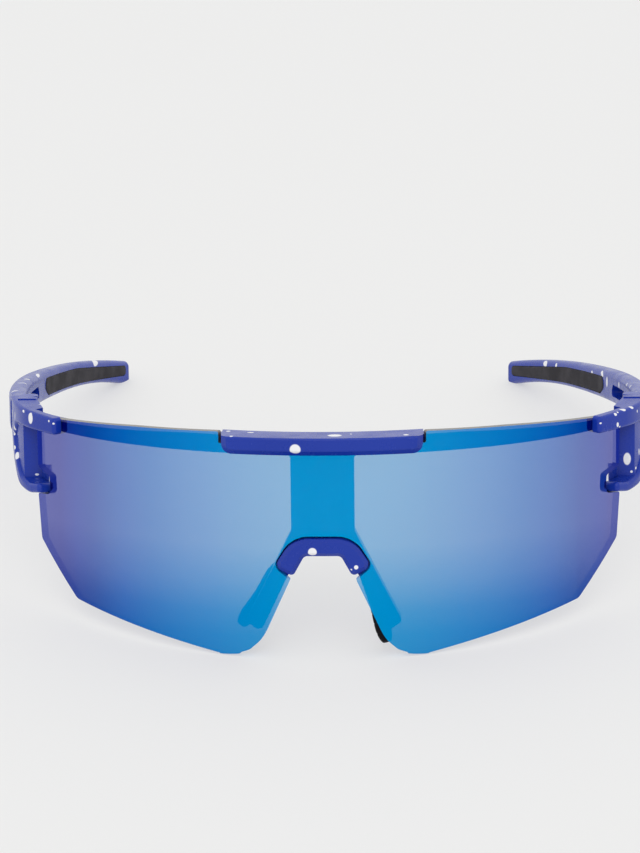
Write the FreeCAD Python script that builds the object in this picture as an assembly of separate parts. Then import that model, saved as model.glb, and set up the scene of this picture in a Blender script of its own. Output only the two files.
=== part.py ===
import FreeCAD, Part
import math
import os

from FreeCAD import Base, Vector

# Wraparound shield sunglasses, in millimetres.
# The parts are drawn upright: X to the right in front view, Y backwards along the temples, Z up,
# with the lens apex line on x = 0, y = 0.
# They are pitched at the end, so that the glasses rest on the lens lobes and the temple tips.

# lens and frame shells: concentric cylinders about the vertical axis (0, LENS_R)
LENS_R = 82.0
LENS_T = 1.8
LENS_GAP = 0.1
BACK_R = LENS_R - LENS_T - LENS_GAP
RAIL_R = 77.0
RAIL_END_X = 66.5
CLIP_R = 84.0
CLIP_BACK_R = 77.6
BAR_R = 84.2
BAR_BACK_R = 76.7
NOTCH_GAP = 0.35

# lens outline, unrolled: s is arc length from the centre line, z is height
LENS_SIDE_S = 76.8
LENS_TOP_Z = 50.2
BAR_POCKET_S = 23.0
BAR_POCKET_Z = 47.6
TINE_LOW_Z = 45.1

# brow bar
BAR_HALF = 22.0
BAR_LOW_Z = 45.6
BAR_TOP_Z = 49.6
BAR_END_CHAMFER = 1.2
BAR_EDGE_R = 0.45
CLIP_CHAMFER = 0.8

# end pieces
TINE_TIP_S = 66.6
LOWER_TINE_TIP_S = 72.9
BEND_S = 76.5
JAW_S = 77.1
TINE_R = 84.2
TINE_BACK_R = LENS_R + LENS_GAP
LOWER_TINE_BACK_R = 79.6
END_TOP_Z = 50.0
END_LOW_Z = 41.4
END_OUTER_X = 73.45
END_INNER_X = 67.2
TEMPLE_FLARE_DEG = 11.3
TIP_EDGE_R = 0.9
ARM_EDGE_R = 0.8
TEMPLE_EDGE_R = 1.5

# hinges: each temple's tongue turns on a screw held between two ears
HINGE_X = 69.3
HINGE_Y = 46.8
EAR_R = 2.1
TONGUE_LOW_Z = 43.8
TONGUE_TOP_Z = 46.8
TONGUE_GAP = 0.12
TURN_GAP = 0.25
SCREW_R = 0.75
BORE_CLEARANCE = 0.05
SCREW_LOW_Z = 41.6
SCREW_TOP_Z = 48.4
HEAD_R = 1.3
HEAD_T = 0.7
DRIVE_W = 0.4
DRIVE_DEPTH = 0.35
INSERT_R = 1.25
INSERT_LOW_Z = 47.1
INSERT_TOP_Z = 48.5
THREAD_GAP = 0.01
SEAM_GAP = 0.15

# temples
TEMPLE_X = 70.4
TEMPLE_Y = 46.0
TEMPLE_R = 224.0
TEMPLE_LENGTH = 127.0
TEMPLE_OUTER = (3.05, 2.25, 1.8)
TEMPLE_INNER = (1.0, 2.25, 1.8)
PAD_DEPTH = 1.0
PAD_PROUD = 0.3
PAD_GAP = 0.05
RIGHT_FOLD_DEG = 7.3

# nose pads on bendable wires
PAD_WIRE_R = 0.45
NOSE_PAD_W = 3.3
NOSE_PAD_T = 2.8

# resting attitude
PITCH_DEG = 10.4

X_AXIS = Vector(1, 0, 0)
Y_AXIS = Vector(0, 1, 0)
Z_AXIS = Vector(0, 0, 1)
LENS_AXIS = Vector(0, LENS_R, 0)
WIRE_POINTS = 9
FAR = 60.0


# ---------------------------------------------------------------- outlines

def rounded_outline(corners, plane_point):
    """Closed wire through (a, b, radius) corners; plane_point turns (a, b) into a 3-D point."""
    points = [plane_point(a, b) for a, b, _ in corners]
    count = len(points)
    starts, ends, arcs = [], [], []
    for i, (_, _, radius) in enumerate(corners):
        corner = points[i]
        to_last = (points[i - 1] - corner).normalize()
        to_next = (points[(i + 1) % count] - corner).normalize()
        half = to_last.getAngle(to_next) / 2
        if radius == 0 or half > math.radians(89.9):
            starts.append(corner)
            ends.append(corner)
            arcs.append(None)
            continue
        cut = radius / math.tan(half)
        middle = corner + (to_last + to_next).normalize() * (radius / math.sin(half) - radius)
        starts.append(corner + to_last * cut)
        ends.append(corner + to_next * cut)
        arcs.append(Part.Arc(starts[i], middle, ends[i]).toShape())
    edges = []
    for i in range(count):
        if arcs[i]:
            edges.append(arcs[i])
        following = starts[(i + 1) % count]
        if (following - ends[i]).Length > 1e-6:
            edges.append(Part.LineSegment(ends[i], following).toShape())
    return Part.Wire(edges)


def mirrored(half):
    """Whole outline from its right half, listed from the upper to the lower centre."""
    left = [(-a, b, radius) for a, b, radius in reversed(half)]
    return half + left


def flat(s, z):
    return Vector(s, z, 0)


def unrolled(corners):
    return rounded_outline(corners, flat)


# ---------------------------------------------------------------- plates wrapped on the lens cylinder

def surface_angle(s):
    return 1.5 * math.pi + s / LENS_R


def wrapped_edge(edge, cylinder):
    """An edge of the unrolled plane, laid on the cylinder."""
    samples = edge.discretize(2 if edge.Curve.TypeId == "Part::GeomLine" else WIRE_POINTS)
    places = [Base.Vector2d(surface_angle(p.x), p.y) for p in samples]
    if len(places) == 2:
        return Part.Geom2d.Line2dSegment(places[0], places[1]).toShape(cylinder)
    curve = Part.Geom2d.BSplineCurve2d()
    curve.interpolate(places)
    return curve.toShape(cylinder)


def cylinder_at(radius):
    cylinder = Part.Cylinder()
    cylinder.Center = LENS_AXIS
    cylinder.Radius = radius
    return cylinder


def wrapped_plate(outline, inner_r, outer_r):
    """Solid between two cylinders, with walls that stand square to them."""
    rims = []
    for radius in (inner_r, outer_r):
        cylinder = cylinder_at(radius)
        rims.append([wrapped_edge(edge, cylinder) for edge in outline.OrderedEdges])
    faces = [Part.makeRuledSurface(low, high) for low, high in zip(*rims)]
    for radius, rim in zip((inner_r, outer_r), rims):
        face = Part.Face(cylinder_at(radius), Part.Wire(rim))
        face.validate()
        faces.append(face)
    shell = Part.makeShell(faces)
    shell.sewShape()
    return outward(Part.makeSolid(shell.Shells[0]))


# ---------------------------------------------------------------- prisms and small solids

def front_view(x, z):
    return Vector(x, 0, z)


def side_view(y, z):
    return Vector(0, y, z)


def plan_view(x, y):
    return Vector(x, y, 0)


def outward(solid):
    """The same solid with its faces turned outwards."""
    if solid.Volume < 0:
        solid.reverse()
    return solid


def prism(outline, start, run):
    face = Part.Face(outline)
    face.translate(start)
    return outward(face.extrude(run))


def ring(inner_r, outer_r):
    outer = Part.makeCylinder(outer_r, FAR, LENS_AXIS)
    return outer.cut(Part.makeCylinder(inner_r, FAR, LENS_AXIS))


def front_block(half, inner_r, outer_r):
    """Front-view outline, cut between two of the lens's concentric cylinders."""
    outline = rounded_outline(mirrored(half), front_view)
    block = prism(outline, Vector(0, -10, 0), Vector(0, FAR, 0))
    return block.common(ring(inner_r, outer_r)).Solids[0]


def on_cylinder(radius, s, z=0.0):
    turn = s / LENS_R
    return Vector(radius * math.sin(turn), LENS_R - radius * math.cos(turn), z)


def lies_on(edge, radius):
    """True where the edge keeps this distance from the lens's vertical axis."""
    first, last = edge.ParameterRange
    points = [edge.valueAt(first + (last - first) * part) for part in (0.0, 0.5, 1.0)]
    return all(abs(math.hypot(p.x, p.y - LENS_R) - radius) < 0.01 for p in points)


def spline(points, first=None, last=None):
    curve = Part.BSplineCurve()
    if first is None:
        curve.interpolate(points)
    else:
        curve.interpolate(Points=points, InitialTangent=first, FinalTangent=last)
    return curve.toShape()


def line(start, end):
    return Part.LineSegment(start, end).toShape()


def box(low, high):
    return Part.makeBox(high[0] - low[0], high[1] - low[1], high[2] - low[2], Vector(*low))


def about_hinge(radius, low, high):
    return Part.makeCylinder(radius, high - low, Vector(HINGE_X, HINGE_Y, low))


def other_side(shape):
    return shape.mirror(Vector(0, 0, 0), X_AXIS)


# ---------------------------------------------------------------- lens

def clip_half(grow=0.0):
    """Right half of the nose arch's outer edge, from its top down to its lower corner."""
    return [
        (6.6 + 0.55 * grow, 27.0 + grow, 6.5 + grow),
        (10.6 + 1.2 * grow, 20.7 - 0.35 * grow, 1.5 + grow),
    ]


def lens_outline():
    """Shield with a brow pocket, a notch for each lower tine and a nose cut-out."""
    half = [
        (BAR_POCKET_S, BAR_POCKET_Z, 0.4),
        (BAR_POCKET_S, LENS_TOP_Z, 0.4),
        (44.0, 49.7, 90.0),
        (LENS_SIDE_S, 48.0, 1.2),
        (76.5, 36.1, 0.9),
        (71.8, 34.7, 0.8),
        (71.5, 30.5, 1.4),
        (LENS_SIDE_S, 29.95, 0.5),
        (75.7, 19.7, 1.6),
        (62.4, 7.9, 2.4),
        (15.97, -1.12, 9.8),
        (7.3, 17.5, 0.4),
    ]
    return unrolled(mirrored(half + list(reversed(clip_half(NOTCH_GAP)))))


def make_lens():
    return wrapped_plate(lens_outline(), LENS_R - LENS_T, LENS_R)


# ---------------------------------------------------------------- centre of the front frame

def make_rail_and_strut():
    """Rail behind the lens's upper edge, with a centre strut that forks into two nose arms."""
    half = [
        (30.0, 49.15, 90.0),
        (RAIL_END_X, 47.0, 0),
        (RAIL_END_X, TINE_LOW_Z, 0),
        (6.95, TINE_LOW_Z, 0.8),
        (6.95, 28.2, 1.0),
        (17.3, 7.3, 1.1),
        (13.9, 5.2, 1.4),
        (7.6, 18.5, 0.5),
        (6.5, 18.9, 0.3),
        (4.0, 23.25, 1.3),
    ]
    return front_block(half, RAIL_R, BACK_R)


def make_clip():
    """Arch that fills the lens's nose cut-out and stands proud of the lens."""
    half = clip_half() + [(6.5, 18.7, 1.0), (4.0, 23.25, 1.3)]
    arch = front_block(half, CLIP_BACK_R, CLIP_R)
    return arch.makeChamfer(CLIP_CHAMFER, [e for e in arch.Edges if lies_on(e, CLIP_R)])


def make_brow_bar():
    """Bar that grips the lens's upper edge at the centre."""
    bar = front_block([(BAR_HALF, BAR_TOP_Z, 0), (BAR_HALF, BAR_LOW_Z, 2.2)], BAR_BACK_R, BAR_R)
    ends = [e for e in bar.Edges if lies_on(e, BAR_R) and abs(e.CenterOfMass.x) > BAR_HALF - 2.5]
    bar = bar.makeChamfer(BAR_END_CHAMFER, ends)
    rims = [e for e in bar.Edges if lies_on(e, BAR_R) and e.Length > BAR_HALF]
    under = box((-FAR, -10, 0), (FAR, FAR, BAR_POCKET_Z + LENS_GAP))
    groove = ring(BACK_R, LENS_R + LENS_GAP).common(under)
    return bar.makeFillet(BAR_EDGE_R, rims).cut(groove)


# ---------------------------------------------------------------- end pieces, drawn right-handed

def flare(y_step):
    """Direction of the end piece and of the temple where they meet."""
    turn = math.radians(TEMPLE_FLARE_DEG)
    return Vector(math.sin(turn), math.cos(turn), 0) * y_step


def outer_wall(inset=0.0):
    """Plan edges of the outer side, from the bend at the lens corner back to the hinge seam."""
    start = on_cylinder(TINE_R - inset, BEND_S)
    seam = plan_view(END_OUTER_X - inset, HINGE_Y)
    turn = BEND_S / LENS_R
    heading = Vector(math.cos(turn), math.sin(turn), 0)
    return spline([start, seam], heading * 15, flare(15))


def arc_round(radius, start_s, end_s):
    """Plan arc about the lens's vertical axis."""
    return Part.Arc(*[on_cylinder(radius, s) for s in (start_s, (start_s + end_s) / 2, end_s)]).toShape()


def front_arc():
    """Plan edge of the tines' front face."""
    return arc_round(TINE_R, TINE_TIP_S, BEND_S)


def band_outline():
    """Plan of the upper arm: a tine over the lens's front, a jaw round its edge, then the hinge seam."""
    jaw_front = on_cylinder(TINE_BACK_R, JAW_S)
    jaw_back = on_cylinder(BACK_R, JAW_S)
    seam_outer = plan_view(END_OUTER_X, HINGE_Y)
    seam_inner = plan_view(END_INNER_X, HINGE_Y)
    inner_bend = plan_view(END_INNER_X, HINGE_Y - 3.0)
    edges = [
        front_arc(),
        outer_wall(),
        line(seam_outer, seam_inner),
        line(seam_inner, inner_bend),
        line(inner_bend, jaw_back),
        line(jaw_back, jaw_front),
        arc_round(TINE_BACK_R, JAW_S, TINE_TIP_S),
        line(on_cylinder(TINE_BACK_R, TINE_TIP_S), on_cylinder(TINE_R, TINE_TIP_S)),
    ]
    return Part.Wire(edges)


def on_outside(edge):
    """True for an edge along the outer side, and not for one across it."""
    skin = Part.Shape(Part.Compound([front_arc(), outer_wall()])).extrude(Vector(0, 0, FAR))
    first, last = edge.ParameterRange
    points = [edge.valueAt(first + (last - first) * part) for part in (0.0, 0.5, 1.0)]
    return all(skin.distToShape(Part.Vertex(p))[0] < 0.01 for p in points)


def upright(edge):
    first, last = edge.ParameterRange
    return abs(edge.tangentAt((first + last) / 2).z) > 0.99


def soft_edged(arm, tip_s):
    """The arm with its tine's tip rounded first, then the long edges of its outer side."""
    tip = on_cylinder(TINE_R, tip_s)
    at_tip = [e for e in arm.Edges if e.CenterOfMass.sub(tip).cross(Z_AXIS).Length < 0.1]
    tip_edges = [e for e in at_tip if upright(e)]
    arm = arm.makeFillet(TIP_EDGE_R, tip_edges)
    return arm.makeFillet(ARM_EDGE_R, [e for e in arm.Edges if on_outside(e) and not upright(e)])


def make_upper_arm():
    arm = prism(band_outline(), Vector(0, 0, 0), Vector(0, 0, FAR))
    profile = [
        (15.0, TINE_LOW_Z, 0),
        (40.0, TINE_LOW_Z, 3.0),
        (43.5, END_LOW_Z, 2.0),
        (FAR, END_LOW_Z, 0),
        (FAR, END_TOP_Z + 0.6, 0),
        (15.0, END_TOP_Z - 1.55, 0),
    ]
    arm = arm.common(prism(rounded_outline(profile, side_view), Vector(50, 0, 0), Vector(30, 0, 0)))
    return soft_edged(arm.Solids[0], TINE_TIP_S)


def make_web():
    """Recessed wall that closes the fork between the two arms and backs the lens's side edge."""
    front_y = 36.4
    inside = plan_view(65.3, front_y)
    wall = outer_wall(0.7)
    plan = Part.Wire([
        wall,
        line(plan_view(END_OUTER_X - 0.7, HINGE_Y), plan_view(END_INNER_X, HINGE_Y)),
        line(plan_view(END_INNER_X, HINGE_Y), inside),
        line(inside, on_cylinder(TINE_R - 0.7, BEND_S)),
    ])
    web = prism(plan, Vector(0, 0, 0), Vector(0, 0, FAR))
    profile = [
        (front_y, 31.0, 1.0),
        (front_y, TINE_LOW_Z + 1, 0),
        (FAR, TINE_LOW_Z + 1, 0),
        (FAR, END_LOW_Z, 0),
        (45.8, END_LOW_Z, 0),
        (44.0, 37.0, 6.0),
        (40.0, 32.4, 3.0),
    ]
    return web.common(prism(rounded_outline(profile, side_view), Vector(50, 0, 0), Vector(30, 0, 0)))


def make_lower_arm():
    """Rib from the hinge down and forward to the lower tine."""
    inner = 4.2
    plan = Part.Wire([
        arc_round(TINE_R, LOWER_TINE_TIP_S, BEND_S),
        outer_wall(),
        line(plan_view(END_OUTER_X, HINGE_Y), plan_view(END_OUTER_X - inner, HINGE_Y)),
        line(plan_view(END_OUTER_X - inner, HINGE_Y), plan_view(67.0, 37.5)),
        line(plan_view(67.0, 37.5), on_cylinder(LOWER_TINE_BACK_R, LOWER_TINE_TIP_S)),
        line(on_cylinder(LOWER_TINE_BACK_R, LOWER_TINE_TIP_S), on_cylinder(TINE_R, LOWER_TINE_TIP_S)),
    ])
    arm = prism(plan, Vector(0, 0, 0), Vector(0, 0, FAR))
    profile = [
        (25.0, 31.7, 0),
        (33.2, 30.1, 5.0),
        (39.0, 30.8, 6.0),
        (44.6, 36.0, 8.0),
        (HINGE_Y + 0.5, END_LOW_Z, 0),
        (HINGE_Y + 0.5, END_LOW_Z + 3, 0),
        (44.5, END_LOW_Z + 2.4, 3.0),
        (41.6, 37.2, 8.0),
        (37.2, 33.2, 5.0),
        (33.4, 32.3, 4.0),
        (25.0, 33.9, 0),
    ]
    arm = arm.common(prism(rounded_outline(profile, side_view), Vector(50, 0, 0), Vector(30, 0, 0)))
    return soft_edged(arm.Solids[0], LOWER_TINE_TIP_S)


def make_hook_root():
    """Block behind the lower notch of the lens, from which the lower tine comes forward."""
    block = box((63.6, 30.0, 31.7), (67.6, 39.5, 35.2))
    inside = Part.makeCylinder(LOWER_TINE_BACK_R + 0.2, FAR, LENS_AXIS)
    return block.common(inside)


def make_ears():
    """Rounded end that stands behind the seam, before its slot is cut."""
    ear = about_hinge(EAR_R, END_LOW_Z, END_TOP_Z)
    root = box(
        (HINGE_X - EAR_R, HINGE_Y - 4.0, END_LOW_Z),
        (HINGE_X + EAR_R, HINGE_Y, END_TOP_Z),
    )
    return ear.fuse(root)


def fold_room():
    """Relief beside the ears, where the folded temple's inner face comes to lie."""
    corner = box(
        (HINGE_X - 12.0, HINGE_Y - EAR_R - TURN_GAP, 0),
        (HINGE_X, HINGE_Y + 12.0, FAR),
    )
    return corner.cut(about_hinge(EAR_R, 0, FAR))


def hinge_cavity():
    """Slot for the tongue, and the holes for the screw, its head and the threaded insert."""
    slot = box(
        (HINGE_X - 12.0, HINGE_Y - EAR_R - TURN_GAP, TONGUE_LOW_Z - TONGUE_GAP),
        (HINGE_X + EAR_R + TURN_GAP, HINGE_Y + 12.0, TONGUE_TOP_Z + TONGUE_GAP),
    )
    shank = about_hinge(SCREW_R + THREAD_GAP, END_LOW_Z, INSERT_LOW_Z)
    head = about_hinge(HEAD_R + 0.05, END_LOW_Z - 1, SCREW_LOW_Z + HEAD_T)
    pocket = about_hinge(INSERT_R + THREAD_GAP, TONGUE_TOP_Z, INSERT_TOP_Z)
    return [slot, shank, head, pocket, fold_room()]


def make_end_piece():
    blocks = [make_upper_arm(), make_web(), make_lower_arm(), make_hook_root(), make_ears()]
    hollowed = [block.cut(hinge_cavity()) for block in blocks]
    return hollowed[0].fuse(hollowed[1:]).removeSplitter()


def make_front_frame():
    end = make_end_piece()
    pieces = [make_clip(), make_brow_bar(), end, other_side(end)]
    return make_rail_and_strut().fuse(pieces).removeSplitter()


# ---------------------------------------------------------------- hinge hardware

def make_screw():
    """Countersunk-style pin screw, driven from below."""
    head_top = SCREW_LOW_Z + HEAD_T
    head = about_hinge(HEAD_R, SCREW_LOW_Z, head_top)
    rim = [e for e in head.Edges if abs(e.CenterOfMass.z - SCREW_LOW_Z) < 0.01]
    head = head.makeFillet(0.2, rim)
    shank = about_hinge(SCREW_R, head_top, SCREW_TOP_Z)
    tip = [e for e in shank.Edges if abs(e.CenterOfMass.z - SCREW_TOP_Z) < 0.01]
    shank = shank.makeChamfer(0.2, tip)
    drive = box(
        (HINGE_X - FAR, HINGE_Y - DRIVE_W / 2, SCREW_LOW_Z - 1),
        (HINGE_X + FAR, HINGE_Y + DRIVE_W / 2, SCREW_LOW_Z + DRIVE_DEPTH),
    )
    return head.fuse(shank).removeSplitter().cut(drive)


def make_insert():
    """Threaded brass ring moulded into the upper ear."""
    outer = about_hinge(INSERT_R, INSERT_LOW_Z, INSERT_TOP_Z)
    return outer.cut(about_hinge(SCREW_R + THREAD_GAP, INSERT_LOW_Z - 1, INSERT_TOP_Z + 1))


# ---------------------------------------------------------------- temples, drawn right-handed

def temple_point(s, offset=0.0):
    """Plan point at arc length s along the temple's centre line."""
    start = math.radians(TEMPLE_FLARE_DEG)
    turn = start - s / TEMPLE_R
    centre_x = TEMPLE_X - TEMPLE_R * math.cos(start)
    centre_y = TEMPLE_Y + TEMPLE_R * math.sin(start)
    reach = TEMPLE_R + offset
    return Vector(centre_x + reach * math.cos(turn), centre_y - reach * math.sin(turn), 0)


def temple_side(outer, proud=0.0):
    """Outer or inner plan edge of the temple, at its front, middle and tip."""
    sign = 1 if outer else -1
    stations = (0.0, TEMPLE_LENGTH / 2, TEMPLE_LENGTH)
    offsets = TEMPLE_OUTER if outer else TEMPLE_INNER
    return [temple_point(s, sign * (d + proud)) for s, d in zip(stations, offsets)]


def temple_band():
    outer = temple_side(True)
    inner = temple_side(False)
    plan = Part.Wire([
        Part.Arc(*outer).toShape(),
        line(outer[2], inner[2]),
        Part.Arc(*reversed(inner)).toShape(),
        line(inner[0], outer[0]),
    ])
    return prism(plan, Vector(0, 0, 0), Vector(0, 0, FAR))


def along(s, z):
    """Side-view point above arc length s."""
    return side_view(temple_point(s).y, z)


def temple_profile():
    """Side outline: level at the hinge, drooping to a square-cut tip."""
    top = [along(-6.0, 50.3), along(28.0, 47.9), along(73.0, 43.3), along(108.0, 38.8), along(132.0, 34.3)]
    low = [along(-6.0, 41.4), along(28.0, 39.9), along(73.0, 36.3), along(108.0, 32.9), along(132.0, 27.9)]
    return Part.Wire([
        spline(top),
        line(top[-1], low[-1]),
        spline(list(reversed(low))),
        line(low[0], top[0]),
    ])


def through_slot():
    """Long opening behind the hinge, centred on the temple's height."""
    corners = [
        (temple_point(21.0).y, 45.6, 1.0),
        (temple_point(47.0).y, 43.3, 1.0),
        (temple_point(49.5).y, 40.2, 1.0),
        (temple_point(24.0).y, 42.4, 1.0),
    ]
    return prism(rounded_outline(corners, side_view), Vector(50, 0, 0), Vector(40, 0, 0))


def pad_outline():
    """Side outline of the grip inlay, with a pointed front end."""
    corners = [
        (temple_point(59.0).y, 43.2, 1.2),
        (temple_point(90.0).y, 40.0, 60.0),
        (temple_point(124.3).y, 34.6, 0.9),
        (temple_point(124.3).y, 31.9, 0.9),
        (temple_point(92.0).y, 35.7, 60.0),
        (temple_point(61.0).y, 38.5, 0.9),
        (temple_point(56.5).y, 41.0, 1.6),
    ]
    return rounded_outline(corners, side_view)


def pad_layer(proud, depth):
    """Plan strip along the temple's inner face."""
    front = temple_side(False, proud)
    back = temple_side(False, -depth)
    plan = Part.Wire([
        Part.Arc(*front).toShape(),
        line(front[2], back[2]),
        Part.Arc(*reversed(back)).toShape(),
        line(back[0], front[0]),
    ])
    return prism(plan, Vector(0, 0, 0), Vector(0, 0, FAR))


def make_temple_pad():
    outline = pad_outline().makeOffset2D(-PAD_GAP)
    block = prism(outline, Vector(30, 0, 0), Vector(60, 0, 0))
    pad = block.common(pad_layer(PAD_PROUD, PAD_DEPTH - PAD_GAP)).Solids[0]
    return pad


def make_tongue():
    """Centre lug that fits between the ears."""
    disc = about_hinge(EAR_R, TONGUE_LOW_Z, TONGUE_TOP_Z)
    root = box(
        (HINGE_X - EAR_R + 0.15, HINGE_Y, TONGUE_LOW_Z),
        (HINGE_X + EAR_R, HINGE_Y + 4.0, TONGUE_TOP_Z),
    )
    return disc.fuse(root)


def make_temple():
    profile = prism(temple_profile(), Vector(30, 0, 0), Vector(60, 0, 0))
    body = temple_band().common(profile).Solids[0]
    body = body.makeFillet(TEMPLE_EDGE_R, [e for e in body.Edges if e.Length > 60.0])
    body = body.cut(box((0, 0, 0), (90, HINGE_Y + SEAM_GAP, FAR)))
    ear_room = about_hinge(EAR_R + TURN_GAP, 0, FAR)
    inner_room = box((0, 0, 0), (HINGE_X + EAR_R + 0.1, HINGE_Y + 0.8, FAR))
    body = body.cut(ear_room.fuse(inner_room))
    body = body.fuse(make_tongue())
    body = body.cut(about_hinge(SCREW_R + BORE_CLEARANCE, 0, FAR))
    body = body.cut(through_slot())
    recess = prism(pad_outline(), Vector(30, 0, 0), Vector(60, 0, 0)).common(pad_layer(2.0, PAD_DEPTH))
    return body.cut(recess)


# ---------------------------------------------------------------- nose pads on wires

NOSE_PATHS = {
    "left": [(-10.4, 19.6, 75.5), (-14.6, 13.4, 75.5), (-20.4, 5.4, 75.6)],
    "right": [(9.7, 19.6, 75.5), (12.2, 11.8, 75.5), (13.8, 6.0, 75.6), (14.7, 2.1, 77.1)],
}


def nose_path(hand):
    return [on_cylinder(radius, s, z) for s, z, radius in NOSE_PATHS[hand]]


def make_nose_pad(hand):
    """Soft blade along the back of a nose arm, rounded all round."""
    path = spline(nose_path(hand))
    first, last = path.ParameterRange
    sections = []
    for part, scale in ((0.0, 0.55), (0.06, 0.9), (0.5, 1.0), (0.92, 0.95), (1.0, 0.6)):
        at = first + (last - first) * part
        centre = path.valueAt(at)
        ahead = path.tangentAt(at)
        sections.append(oval(centre, ahead, scale))
    return Part.makeLoft(sections, True)


def oval(centre, ahead, scale):
    """Rounded section square to the path, its long side along the lens."""
    wide = ahead.cross(Y_AXIS).normalize()
    deep = wide.cross(ahead).normalize()
    half_w = NOSE_PAD_W / 2 * scale
    half_t = NOSE_PAD_T / 2 * scale
    corners = [(half_w, half_t), (half_w, -half_t), (-half_w, -half_t), (-half_w, half_t)]
    soft = min(half_w, half_t) * 0.75
    return rounded_outline([(a, b, soft) for a, b in corners], lambda a, b: centre + wide * a + deep * b)


def make_pad_wire(hand):
    """Bendable core: from a hole in the nose arm down the middle of the pad."""
    places = nose_path(hand)
    root = on_cylinder(RAIL_R + 1.6, NOSE_PATHS[hand][0][0], NOSE_PATHS[hand][0][1] - 0.6)
    bend = places[0] + (places[1] - places[0]) * 0.25
    end = places[1] + (places[2] - places[1]) * 0.7
    path = Part.Wire([spline([root, bend, places[1], end])])
    start = path.Edges[0]
    ahead = start.tangentAt(start.ParameterRange[0])
    section = Part.Wire([Part.Circle(root, ahead, PAD_WIRE_R).toShape()])
    return path.makePipeShell([section], True, True)


# ---------------------------------------------------------------- assembly

def build():
    """All pieces in the wearer's frame, the temples at their open stops."""
    frame = make_front_frame()
    parts = {"lens": make_lens()}
    for hand in ("left", "right"):
        wire = make_pad_wire(hand)
        pad = make_nose_pad(hand).cut(frame)
        parts[hand + "_nose_pad"] = pad.cut(wire)
        parts[hand + "_nose_pad_wire"] = wire
        frame = frame.cut(wire)
    parts["front_frame"] = frame
    temple = make_temple()
    grip = make_temple_pad()
    screw = make_screw()
    insert = make_insert()
    fold = FreeCAD.Rotation(Z_AXIS, RIGHT_FOLD_DEG)
    folded = FreeCAD.Placement(Vector(0, 0, 0), fold, Vector(HINGE_X, HINGE_Y, 0))
    parts["left_temple"] = other_side(temple)
    parts["left_temple_pad"] = other_side(grip)
    parts["right_temple"] = temple.transformed(folded.toMatrix())
    parts["right_temple_pad"] = grip.transformed(folded.toMatrix())
    parts["left_hinge_screw"] = other_side(screw)
    parts["right_hinge_screw"] = screw
    parts["left_hinge_insert"] = other_side(insert)
    parts["right_hinge_insert"] = insert
    return parts


def extents(shapes):
    box_of_all = FreeCAD.BoundBox()
    for shape in shapes:
        box_of_all.add(shape.optimalBoundingBox(False))
    return box_of_all


def rest_on_floor(parts):
    """Pitch the glasses, square the temple tips off at the floor and centre the footprint."""
    pitch = FreeCAD.Placement(Vector(0, 0, 0), FreeCAD.Rotation(X_AXIS, -PITCH_DEG))
    rested = {}
    for name, shape in parts.items():
        rested[name] = shape.transformed(pitch.toMatrix())
    floor_z = extents([rested["lens"]]).ZMin
    below = box((-200, -200, floor_z - 50), (200, 300, floor_z))
    for hand in ("left", "right"):
        rested[hand + "_temple"] = rested[hand + "_temple"].cut(below)
    around = extents(rested.values())
    for shape in rested.values():
        shape.translate(Vector(-around.Center.x, -around.Center.y, -around.ZMin))
    return rested


def main():
    os.makedirs("parts", exist_ok=True)
    for name, shape in rest_on_floor(build()).items():
        shape.Solids[0].exportStep("parts/" + name + ".step")


main()
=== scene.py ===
import math

import bmesh
import bpy
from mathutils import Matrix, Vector


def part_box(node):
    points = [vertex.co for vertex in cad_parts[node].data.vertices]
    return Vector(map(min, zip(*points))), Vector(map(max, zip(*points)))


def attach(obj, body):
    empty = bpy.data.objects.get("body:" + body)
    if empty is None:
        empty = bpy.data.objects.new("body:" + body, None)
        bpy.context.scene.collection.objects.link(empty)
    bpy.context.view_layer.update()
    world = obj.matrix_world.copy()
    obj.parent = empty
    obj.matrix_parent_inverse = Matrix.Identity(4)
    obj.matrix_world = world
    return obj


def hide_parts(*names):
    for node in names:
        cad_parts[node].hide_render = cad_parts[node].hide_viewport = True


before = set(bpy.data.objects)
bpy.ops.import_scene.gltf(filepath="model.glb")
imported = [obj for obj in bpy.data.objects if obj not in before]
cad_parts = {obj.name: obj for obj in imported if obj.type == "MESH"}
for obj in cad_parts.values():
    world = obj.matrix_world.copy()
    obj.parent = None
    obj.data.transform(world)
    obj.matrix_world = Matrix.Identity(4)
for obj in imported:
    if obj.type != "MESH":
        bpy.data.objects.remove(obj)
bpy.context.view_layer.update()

MM = 0.001

# The glasses rest pitched by this much. Turned back by it from this place on the lens, they stand
# upright: X across, Y backwards, Z up from the lens's lowest line, and the lens is part of a
# cylinder of radius 82 mm about the upright line through (0, 82 mm).
PITCH = math.radians(10.4)
LENS_APEX = (1.666 * MM, -88.341 * MM, 0.724 * MM)
LENS_AXIS = (0.0, 82 * MM, 0.0)
LENS_MIDDLE_R = 81.1 * MM
LENS_HEIGHT = 50 * MM

# Where the lens's cut edge changes its look, upright, each as (one look, the other): a painted highlight
# round the nose, the brow's brown, and painted shade in the arm notches.
NOSE_HIGHLIGHT_X = (17 * MM, 20 * MM)
BROW_EDGE_Z = (47.2 * MM, 47.7 * MM)
NOTCH_SHADE_X = (60 * MM, 61 * MM)
NOTCH_SHADE_LOW_Z = (29.6 * MM, 29.9 * MM)
NOTCH_SHADE_HIGH_Z = (36.4 * MM, 36.7 * MM)

# Share of the lens's front that mirrors, the rest being tint; and of the cut edge that shows, where it is
# otherwise clear, as a painted blue glow.
MIRROR_SHARE = 0.66
BACK_SHEEN_SHARE = 0.03
CLEAR_EDGE_GLOW_SHARE = 0.18

# Beyond this, on either side, the front frame carries fine spatter too.
FRAME_SPATTER_X = 58 * MM

# Soft pieces: size of a remeshing voxel, and rounds of smoothing.
GRIP_SKIN = (0.20 * MM, 24)
NOSE_PAD_SKIN = (0.16 * MM, 6)
NOSE_PAD_GROOVES = 9
GROOVE_HALF_WIDTH = 0.35 * MM
GROOVE_DEPTH = 0.14 * MM

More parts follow.
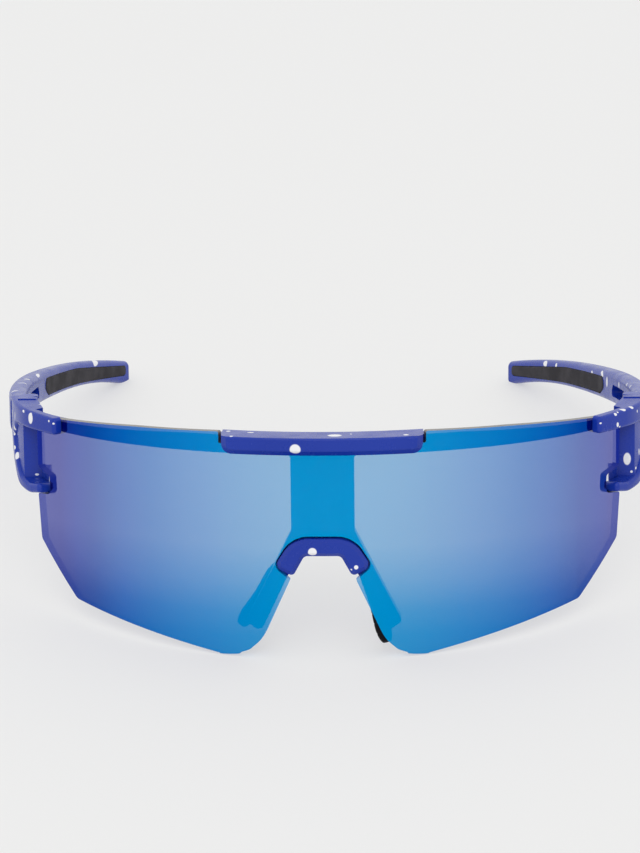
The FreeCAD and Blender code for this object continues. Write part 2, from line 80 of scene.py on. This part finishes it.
# Studio.
FLOOR_SIZE = 6.0
FLOOR_GLOW = 0.5
LAMP_AT = (0.0, -1.2, 1.2)
LAMP_TOWARDS = (0.0, -0.2, 0.0)
LAMP_SIZE = 1.0
LAMP_POWER = 5.0

# Camera, at the photograph's viewing angle.
CAMERA_AT = (0.0339, -0.8103, 0.3439)
CAMERA_TURN_DEG = (68.24, 1.035, 2.132)
CAMERA_LENS = 102.2
SENSOR_HEIGHT = 24.0
CAMERA_REACH = 20.0


# ---------------------------------------------------------------- node helpers

class Shading:
    """One material's node tree, with short calls for its nodes."""

    def __init__(self, name):
        self.material = bpy.data.materials.new(name)
        self.material.use_nodes = True
        self.tree = self.material.node_tree
        self.tree.nodes.clear()

    def put(self, target, value):
        if isinstance(value, bpy.types.NodeSocket):
            self.tree.links.new(value, target)
        elif value is not None:
            target.default_value = value

    def node(self, kind, inputs=None, **settings):
        made = self.tree.nodes.new(kind)
        for key, value in settings.items():
            setattr(made, key, value)
        for key, value in (inputs or {}).items():
            self.put(made.inputs[key], value)
        return made

    def maths(self, operation, a, b=None):
        made = self.node("ShaderNodeMath", operation=operation)
        for socket, value in zip(made.inputs, (a, b)):
            self.put(socket, value)
        return made.outputs[0]

    def vector(self, operation, a, b=None):
        made = self.node("ShaderNodeVectorMath", operation=operation)
        self.put(made.inputs[0], a)
        self.put(made.inputs[1], b)
        return made.outputs["Value" if operation in ("DOT_PRODUCT", "LENGTH") else 0]

    def between(self, value, low, high, to_low=0.0, to_high=1.0):
        """The value carried from low..high to to_low..to_high, smoothly and held at the ends."""
        made = self.node("ShaderNodeMapRange", interpolation_type="SMOOTHSTEP")
        for socket, number in zip(made.inputs, (value, low, high, to_low, to_high)):
            self.put(socket, number)
        return made.outputs[0]

    def ramp(self, value, stops):
        made = self.node("ShaderNodeValToRGB", {0: value})
        elements = made.color_ramp.elements
        while len(elements) < len(stops):
            elements.new(0.5)
        for element, (place, colour) in zip(elements, stops):
            element.position = place
            element.color = (*colour, 1.0)
        return made.outputs[0]

    def mix(self, share, a, b):
        made = self.node("ShaderNodeMix", data_type="RGBA")
        self.put(made.inputs[0], share)
        self.put(made.inputs[6], a if isinstance(a, bpy.types.NodeSocket) else (*a, 1.0))
        self.put(made.inputs[7], b if isinstance(b, bpy.types.NodeSocket) else (*b, 1.0))
        return made.outputs[2]

    def place(self):
        """The point in the row frame at rest, in metres; it rides with its body."""
        return self.node("ShaderNodeTexCoord").outputs["Object"]

    def noise(self, scale, detail=3.0, where=None, roughness=0.5):
        made = self.node(
            "ShaderNodeTexNoise",
            {"Vector": where or self.place(), "Scale": scale, "Detail": detail, "Roughness": roughness},
        )
        return made.outputs["Fac"]

    def bump(self, height, distance, strength):
        made = self.node("ShaderNodeBump", {"Height": height, "Distance": distance, "Strength": strength})
        return made.outputs[0]

    def surface(self, shader):
        output = self.node("ShaderNodeOutputMaterial")
        self.tree.links.new(shader, output.inputs["Surface"])
        return self.material


# ---------------------------------------------------------------- materials

def upright(paint):
    """The point in the glasses' upright frame, in metres."""
    away = paint.vector("SUBTRACT", paint.place(), LENS_APEX)
    return paint.node("ShaderNodeMapping", {"Vector": away, "Rotation": (PITCH, 0, 0)}).outputs[0]


def spatter(paint, stretch, cell, chance, radius):
    """Mask of flung paint: one drop in some cells of a loose grid, drawn out by stretch."""
    spaced = paint.vector("MULTIPLY", paint.place(), [s / cell for s in stretch])
    cells = paint.node("ShaderNodeTexVoronoi", {"Vector": spaced, "Scale": 1.0})
    wobble = paint.noise(3.0, 2.0, spaced)
    draw = paint.node("ShaderNodeSeparateColor", {0: cells.outputs["Color"]}).outputs[0]
    size = paint.between(draw, 1.0 - chance, 1.0, 0.0, radius / cell)
    size = paint.maths("MULTIPLY", size, paint.between(wobble, 0.2, 0.8, 0.75, 1.25))
    return paint.between(paint.maths("SUBTRACT", size, cells.outputs["Distance"]), 0.0, 0.012, 0.0, 1.0)


def spot(paint, centre, half_sizes):
    """Mask of one listed drop, an ellipsoid that the surface cuts."""
    away = paint.vector("SUBTRACT", paint.place(), [v * MM for v in centre])
    away = paint.vector("DIVIDE", away, [v * MM for v in half_sizes])
    return paint.between(paint.vector("LENGTH", away), 1.12, 0.88, 0.0, 1.0)


def flung_paint(paint, spots, from_x):
    """All the white paint: listed drops, and fine spatter beyond from_x on either side."""
    fine = spatter(paint, (1, 1, 1), 2.6 * MM, 0.12, 0.22 * MM)
    streaks = spatter(paint, (0.9, 0.30, 1.6), 5 * MM, 0.16, 0.42 * MM)
    across = paint.node("ShaderNodeSeparateXYZ", {0: paint.place()}).outputs[0]
    side = paint.between(paint.maths("ABSOLUTE", across), from_x, from_x + MM)
    mask = paint.maths("MULTIPLY", side, paint.maths("MAXIMUM", fine, streaks))
    for centre, half_sizes in spots:
        mask = paint.maths("MAXIMUM", mask, spot(paint, centre, half_sizes))
    return mask


def spattered_plastic(name, spots, from_x):
    """Satin deep blue moulding with drops and streaks of white paint."""
    paint = Shading(name)
    mask = flung_paint(paint, spots, from_x)
    cloud = paint.noise(60.0, 4.0)
    blue = paint.mix(cloud, (0.005, 0.026, 0.290), (0.009, 0.038, 0.350))
    grain = paint.noise(2600.0, 2.0)
    rub = paint.noise(220.0, 6.0, roughness=0.65)
    height = paint.maths("ADD", mask, paint.maths("MULTIPLY", grain, 0.02))
    plastic = paint.node("ShaderNodeBsdfPrincipled", {
        "Base Color": paint.mix(mask, blue, (0.80, 0.80, 0.82)),
        "Roughness": paint.between(rub, 0.35, 0.75, 0.22, 0.34),
        "IOR": 1.46,
        "Specular IOR Level": 0.32,
        "Normal": paint.bump(height, 0.05 * MM, 0.6),
    })
    return paint.surface(plastic.outputs[0])


def mirror_coated():
    """Shield lens: an interference mirror, cyan head on and violet at the sides, over a tint whose
    see-through light darkens towards the bottom edge.
    """
    coat = Shading("mirror_lens")
    point = upright(coat)
    x, _, z = coat.node("ShaderNodeSeparateXYZ", {0: point}).outputs
    across = coat.vector("SUBTRACT", point, LENS_AXIS)
    radial = coat.vector("MULTIPLY", across, (1, 1, 0))
    radius = coat.vector("LENGTH", radial)
    facing = coat.node("ShaderNodeLayerWeight", {"Blend": 0.5}).outputs["Facing"]
    mirror = coat.ramp(facing, [
        (0.03, (0.000, 0.450, 0.980)),
        (0.10, (0.000, 0.350, 0.930)),
        (0.16, (0.000, 0.280, 0.860)),
        (0.245, (0.000, 0.175, 0.740)),
        (0.32, (0.000, 0.090, 0.540)),
        (0.42, (0.015, 0.035, 0.400)),
    ])
    tint = coat.ramp(facing, [
        (0.03, (0.980, 0.680, 0.320)),
        (0.18, (0.680, 0.580, 0.370)),
        (0.26, (0.620, 0.590, 0.460)),
        (0.37, (0.570, 0.570, 0.740)),
    ])
    # See-through light, darker towards the lens's bottom edge.
    low = coat.ramp(coat.maths("DIVIDE", z, LENS_HEIGHT), [
        (0.00, (0.14, 0.17, 0.18)),
        (0.09, (0.16, 0.20, 0.22)),
        (0.20, (0.32, 0.36, 0.40)),
        (0.34, (0.70, 0.72, 0.76)),
        (0.50, (1.00, 1.00, 1.00)),
    ])
    smudge = coat.noise(90.0, 6.0, roughness=0.7)
    gloss = coat.node("ShaderNodeBsdfGlossy", {
        "Color": mirror,
        "Roughness": coat.between(smudge, 0.45, 0.8, 0.03, 0.10),
        "Normal": coat.bump(coat.noise(40.0, 2.0), 0.01 * MM, 0.15),
    })
    filtered = coat.node("ShaderNodeBsdfTransparent", {"Color": coat.vector("MULTIPLY", tint, low)})
    front = coat.node("ShaderNodeMixShader", {0: MIRROR_SHARE, 1: filtered.outputs[0], 2: gloss.outputs[0]})
    clear = coat.node("ShaderNodeBsdfTransparent", {"Color": (0.97, 0.97, 0.97, 1.0)})
    sheen = coat.node("ShaderNodeBsdfGlossy", {"Color": (0.9, 0.9, 0.9, 1.0), "Roughness": 0.05})
    back = coat.node("ShaderNodeMixShader", {0: BACK_SHEEN_SHARE, 1: clear.outputs[0], 2: sheen.outputs[0]})
    outer = coat.between(radius, LENS_MIDDLE_R - 0.1 * MM, LENS_MIDDLE_R + 0.1 * MM)
    face = coat.node("ShaderNodeMixShader", {0: outer, 1: back.outputs[0], 2: front.outputs[0]})
    # The cut edge's own brown, with its painted highlight, painted shade and painted glow.
    rim = edge_colour_and_painted_light(coat, x, z)
    return coat.surface(coat.node("ShaderNodeMixShader", {
        0: cut_edge(coat, radial), 1: face.outputs[0], 2: rim.outputs[0],
    }).outputs[0])


def cut_edge(coat, radial):
    """1 on the lens's cut edge, where the surface doesn't face its cylinder's axis."""
    normal = coat.node("ShaderNodeNewGeometry").outputs["Normal"]
    turn = {"Vector": normal, "Rotation": (PITCH, 0, 0)}
    level = coat.node("ShaderNodeMapping", turn, vector_type="VECTOR")
    cosine = coat.vector("DOT_PRODUCT", coat.vector("NORMALIZE", radial), level.outputs[0])
    return coat.between(coat.maths("ABSOLUTE", cosine), 0.8, 0.6, 0.0, 1.0)


def edge_colour_and_painted_light(coat, x, z):
    """Cut edge: brown along the brow, a painted cyan highlight round the nose, painted dark shade in the
    notches, and nearly clear elsewhere under a faint painted blue glow.
    """
    speckle = coat.noise(400.0)
    # Painted glow: blue, for light carried through the lens to its cut edge.
    blue = coat.mix(speckle, (0.0, 0.05, 0.50), (0.0, 0.08, 0.62))
    # Painted highlight: the lit bevel round the nose cut-out.
    nose_highlight_cyan = coat.mix(speckle, (0.0, 0.32, 0.80), (0.0, 0.40, 0.90))
    # Painted shade: the dark recess of the arm notches.
    notch_shade_navy = coat.mix(speckle, (0.002, 0.004, 0.050), (0.004, 0.010, 0.090))
    brown = coat.mix(speckle, (0.030, 0.025, 0.020), (0.160, 0.135, 0.110))
    side = coat.maths("ABSOLUTE", x)
    # Mask of the painted nose highlight.
    nose_highlight_mask = coat.between(side, *NOSE_HIGHLIGHT_X, 1.0, 0.0)
    on_brow = coat.between(z, *BROW_EDGE_Z)
    # Mask of the painted notch shade: between two heights, by the arms.
    above = coat.between(z, *NOTCH_SHADE_LOW_Z)
    below = coat.between(z, *NOTCH_SHADE_HIGH_Z, 1.0, 0.0)
    at_arm = coat.between(side, *NOTCH_SHADE_X)
    notch_shade_mask = coat.maths("MULTIPLY", at_arm, coat.maths("MULTIPLY", above, below))
    # Lay on the painted highlight, then the painted notch shade, then the brow's brown.
    colour = coat.mix(nose_highlight_mask, blue, nose_highlight_cyan)
    colour = coat.mix(notch_shade_mask, colour, notch_shade_navy)
    colour = coat.mix(on_brow, colour, brown)
    solid = coat.maths("MAXIMUM", on_brow, coat.maths("MAXIMUM", nose_highlight_mask, notch_shade_mask))
    face = coat.node("ShaderNodeBsdfPrincipled", {"Base Color": colour, "Roughness": 0.25, "IOR": 1.5})
    clear = coat.node("ShaderNodeBsdfTransparent", {"Color": (0.80, 0.84, 0.96, 1.0)})
    return coat.node("ShaderNodeMixShader", {
        0: coat.between(solid, 0.0, 1.0, CLEAR_EDGE_GLOW_SHARE, 1.0), 1: clear.outputs[0], 2: face.outputs[0],
    })


def soft_rubber(name, dark, light, grain_scale):
    """Matt elastomer with a fine moulded grain and paler rubbed patches."""
    rubber = Shading(name)
    grain = rubber.noise(grain_scale, 3.0)
    worn = rubber.noise(130.0, 5.0, roughness=0.6)
    body = rubber.node("ShaderNodeBsdfPrincipled", {
        "Base Color": rubber.mix(rubber.between(worn, 0.35, 0.75), dark, light),
        "Roughness": rubber.between(worn, 0.3, 0.7, 0.78, 0.66),
        "IOR": 1.4,
        "Specular IOR Level": 0.15,
        "Normal": rubber.bump(grain, 0.05 * MM, 0.6),
    })
    return rubber.surface(body.outputs[0])


def machined(name, dark, light, roughness):
    """Turned metal with fine rings of tool marks and darker handled patches."""
    metal = Shading(name)
    marks = metal.noise(3000.0, 2.0, metal.vector("MULTIPLY", metal.place(), (0.2, 0.2, 1.0)))
    tarnish = metal.noise(500.0, 4.0)
    body = metal.node("ShaderNodeBsdfPrincipled", {
        "Base Color": metal.mix(tarnish, dark, light),
        "Metallic": 1.0,
        "Roughness": metal.between(marks, 0.3, 0.7, roughness, roughness + 0.15),
        "Normal": metal.bump(marks, 0.02 * MM, 0.4),
    })
    return metal.surface(body.outputs[0])


# ---------------------------------------------------------------- stage

def floor():
    """A light table: paper glowing evenly from below, which keeps the shadows faint."""
    bpy.ops.mesh.primitive_plane_add(size=FLOOR_SIZE)
    plane = bpy.context.object
    plane.name = "studio_floor"
    paper = Shading("paper")
    sheet = paper.node("ShaderNodeBsdfPrincipled", {
        "Base Color": paper.mix(paper.noise(8.0), (0.290, 0.290, 0.286), (0.296, 0.296, 0.292)),
        "Roughness": 0.85,
        "Emission Color": (1.0, 1.0, 1.0, 1.0),
        "Emission Strength": FLOOR_GLOW,
    })
    plane.data.materials.append(paper.surface(sheet.outputs[0]))


def soft_light():
    light = bpy.data.lights.new("front", "AREA")
    light.shape = "DISK"
    light.size = LAMP_SIZE
    light.energy = LAMP_POWER
    lamp = bpy.data.objects.new("front", light)
    lamp.location = LAMP_AT
    lamp.rotation_euler = (Vector(LAMP_TOWARDS) - Vector(LAMP_AT)).to_track_quat("-Z", "Y").to_euler()
    bpy.context.collection.objects.link(lamp)


def studio():
    floor()
    world = bpy.data.worlds.new("studio")
    world.use_nodes = True
    world.node_tree.nodes["Background"].inputs[0].default_value = (1.0, 1.0, 1.0, 1.0)
    world.node_tree.nodes["Background"].inputs[1].default_value = 1.0
    bpy.context.scene.world = world
    soft_light()
    bpy.context.scene.view_settings.view_transform = "Standard"


def camera():
    lens = bpy.data.cameras.new("camera")
    lens.sensor_fit = "VERTICAL"
    lens.sensor_height = SENSOR_HEIGHT
    lens.lens = CAMERA_LENS
    lens.clip_end = CAMERA_REACH
    eye = bpy.data.objects.new("camera", lens)
    eye.location = CAMERA_AT
    eye.rotation_euler = [math.radians(angle) for angle in CAMERA_TURN_DEG]
    bpy.context.collection.objects.link(eye)
    bpy.context.scene.camera = eye


# ---------------------------------------------------------------- the glasses

def dress(name, material):
    """Gives a CAD node its finish."""
    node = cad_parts[name]
    if not node.material_slots:
        node.data.materials.append(material)
    for held in node.material_slots:
        held.link = "OBJECT"
        held.material = material


def welded(name):
    """A closed copy of a CAD node's mesh, to be worked on."""
    shape = bmesh.new()
    shape.from_mesh(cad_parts[name].data)
    bmesh.ops.remove_doubles(shape, verts=shape.verts, dist=0.001 * MM)
    mesh = bpy.data.meshes.new(name + "_soft")
    shape.to_mesh(mesh)
    shape.free()
    return mesh


def moulded(name, voxel, rounds):
    """The node's solid as one even skin, its edges rounded by smoothing."""
    piece = bpy.data.objects.new(name + "_soft", welded(name))
    bpy.context.collection.objects.link(piece)
    even = piece.modifiers.new("even", "REMESH")
    even.mode = "VOXEL"
    even.voxel_size = voxel
    even.use_smooth_shade = True
    softened = piece.modifiers.new("softened", "SMOOTH")
    softened.iterations = rounds
    softened.factor = 0.5
    bpy.context.view_layer.update()
    skin = bpy.data.meshes.new_from_object(piece.evaluated_get(bpy.context.evaluated_depsgraph_get()))
    piece.modifiers.clear()
    piece.data = skin
    return piece


def grooved(piece, start, end, count, half_width, depth):
    """Presses shallow grooves across a moulded piece, evenly from start to end."""
    run = Vector(end) - Vector(start)
    ahead = run.normalized()
    pitch = run.length / count
    vertices = piece.data.vertices
    normals = [Vector(v.normal) for v in vertices]
    for vertex, normal in zip(vertices, normals):
        at = (vertex.co - Vector(start)).dot(ahead)
        if 0 < at < run.length and abs(normal.dot(ahead)) < 0.5:
            from_groove = abs(at % pitch - pitch / 2)
            if from_groove < half_width:
                press = 0.5 + 0.5 * math.cos(math.pi * from_groove / half_width)
                vertex.co -= normal * depth * press


def finished(piece, node, body, material):
    """Gives a made piece its finish and puts it in its CAD node's place."""
    piece.data.materials.clear()
    piece.data.materials.append(material)
    for face in piece.data.polygons:
        face.use_smooth = True
    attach(piece, body)
    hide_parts(node)


# Drops of paint: place and half sizes, in millimetres, in the row frame at rest.
FRAME_SPOTS = [
    ((-4.0, -82.0, 47.5), (1.2, 1.2, 1.2)),
    ((4.5, -78.0, 49.3), (1.5, 1.2, 0.8)),
    ((-18.0, -78.5, 49.3), (0.4, 0.5, 0.5)),
    ((-19.0, -73.0, 48.5), (0.5, 0.6, 0.5)),
    ((-14.0, -74.5, 48.9), (0.9, 0.5, 0.5)),
    ((8.0, -76.5, 49.0), (0.25, 0.3, 0.4)),
    ((20.0, -77.5, 49.1), (0.6, 0.6, 0.5)),
    ((-0.5, -86.0, 25.0), (0.95, 1.2, 0.95)),
    ((9.0, -86.0, 21.5), (0.5, 0.6, 0.5)),
    ((8.0, -86.0, 21.0), (0.25, 0.4, 0.25)),
    ((-65.5, -49.0, 42.0), (0.9, 0.9, 1.3)),
    ((-67.5, -46.0, 42.5), (0.55, 0.55, 0.3)),
    ((-63.5, -46.5, 43.0), (1.0, 0.35, 0.4)),
    ((-63.5, -42.0, 42.6), (0.9, 0.25, 0.4)),
    ((-60.5, -54.5, 43.5), (0.35, 0.35, 0.3)),
    ((-59.5, -55.5, 43.3), (0.3, 0.35, 0.25)),
    ((-71.5, -36.0, 38.0), (0.5, 0.35, 1.0)),
    ((-70.5, -40.0, 39.0), (0.5, 0.3, 1.3)),
    ((-71.0, -37.0, 35.5), (0.5, 0.3, 0.9)),
    ((-70.5, -39.0, 35.8), (0.5, 0.3, 0.8)),
    ((-69.0, -41.0, 37.5), (0.4, 0.3, 0.35)),
    ((-71.0, -38.0, 34.0), (0.5, 0.35, 0.6)),
    ((-71.0, -39.5, 31.0), (0.6, 0.6, 0.5)),
    ((-70.0, -41.0, 29.5), (0.6, 0.8, 1.0)),
    ((-65.0, -46.8, 27.2), (0.6, 0.5, 0.35)),
    ((67.0, -51.5, 41.0), (0.4, 0.4, 0.55)),
    ((67.5, -51.0, 40.3), (0.22, 0.25, 0.22)),
    ((68.5, -48.5, 43.5), (1.0, 0.6, 0.35)),
    ((70.5, -46.0, 43.0), (1.0, 0.5, 0.35)),
    ((66.5, -51.5, 43.5), (0.55, 0.4, 0.35)),
    ((67.0, -50.5, 43.6), (0.25, 0.25, 0.25)),
    ((63.0, -55.5, 43.0), (0.3, 0.35, 0.22)),
    ((72.0, -44.5, 41.5), (0.4, 0.35, 0.6)),
    ((69.5, -46.0, 30.5), (0.85, 0.7, 1.5)),
    ((71.0, -46.5, 40.5), (0.22, 0.25, 0.22)),
    ((72.5, -43.0, 31.0), (0.4, 0.4, 0.9)),
    ((71.5, -45.5, 28.0), (0.5, 0.4, 0.3)),
    ((70.5, -46.5, 27.5), (0.3, 0.3, 0.3)),
]
LEFT_SPOTS = [
    ((-63.0, 67.0, 11.7), (1.4, 2.6, 0.8)),
    ((-71.5, 15.0, 28.0), (0.45, 3.0, 0.9)),
    ((-72.5, 1.5, 32.0), (0.8, 0.9, 0.4)),
    ((-72.5, -8.0, 34.5), (1.3, 0.7, 0.4)),
    ((-72.5, -24.0, 39.0), (1.2, 0.6, 0.4)),
    ((-72.5, -28.5, 39.7), (0.25, 0.3, 0.25)),
]
RIGHT_SPOTS = [
    ((53.0, 64.0, 12.0), (0.9, 1.6, 0.9)),
    ((56.0, 57.5, 13.7), (0.35, 0.8, 0.7)),
    ((64.0, 31.5, 21.7), (0.35, 0.9, 0.6)),
    ((66.5, 23.0, 24.7), (1.0, 1.6, 0.5)),
    ((67.5, 17.5, 24.7), (0.6, 0.9, 1.4)),
    ((69.5, 3.0, 29.5), (0.5, 0.7, 0.7)),
    ((71.0, -8.5, 34.0), (0.9, 0.6, 0.4)),
    ((71.5, -15.0, 36.0), (1.3, 0.5, 0.4)),
    ((72.0, -28.5, 40.0), (0.3, 0.3, 0.3)),
]

camera()
studio()

dress("lens", mirror_coated())
dress("front_frame", spattered_plastic("frame_blue", FRAME_SPOTS, FRAME_SPATTER_X))
dress("left_temple", spattered_plastic("left_temple_blue", LEFT_SPOTS, 0.0))
dress("right_temple", spattered_plastic("right_temple_blue", RIGHT_SPOTS, 0.0))
grip = soft_rubber("grip_rubber", (0.030, 0.028, 0.033), (0.052, 0.049, 0.056), 1800.0)
silicone = soft_rubber("nose_silicone", (0.006, 0.005, 0.007), (0.014, 0.013, 0.015), 2400.0)
steel = machined("spring_steel", (0.42, 0.42, 0.43), (0.62, 0.62, 0.63), 0.28)
brass = machined("insert_brass", (0.50, 0.34, 0.12), (0.72, 0.52, 0.24), 0.25)
for hand in ("left", "right"):
    dress(hand + "_nose_pad_wire", steel)
    dress(hand + "_hinge_screw", steel)
    dress(hand + "_hinge_insert", brass)
    inlay = moulded(hand + "_temple_pad", *GRIP_SKIN)
    finished(inlay, hand + "_temple_pad", hand + "_arm", grip)
    blade = moulded(hand + "_nose_pad", *NOSE_PAD_SKIN)
    low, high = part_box(hand + "_nose_pad")
    inner, outer = (high.x, low.x) if hand == "left" else (low.x, high.x)
    top = (inner, low.y, high.z)
    bottom = (outer, low.y, low.z)
    grooved(blade, top, bottom, NOSE_PAD_GROOVES, GROOVE_HALF_WIDTH, GROOVE_DEPTH)
    finished(blade, hand + "_nose_pad", "front", silicone)
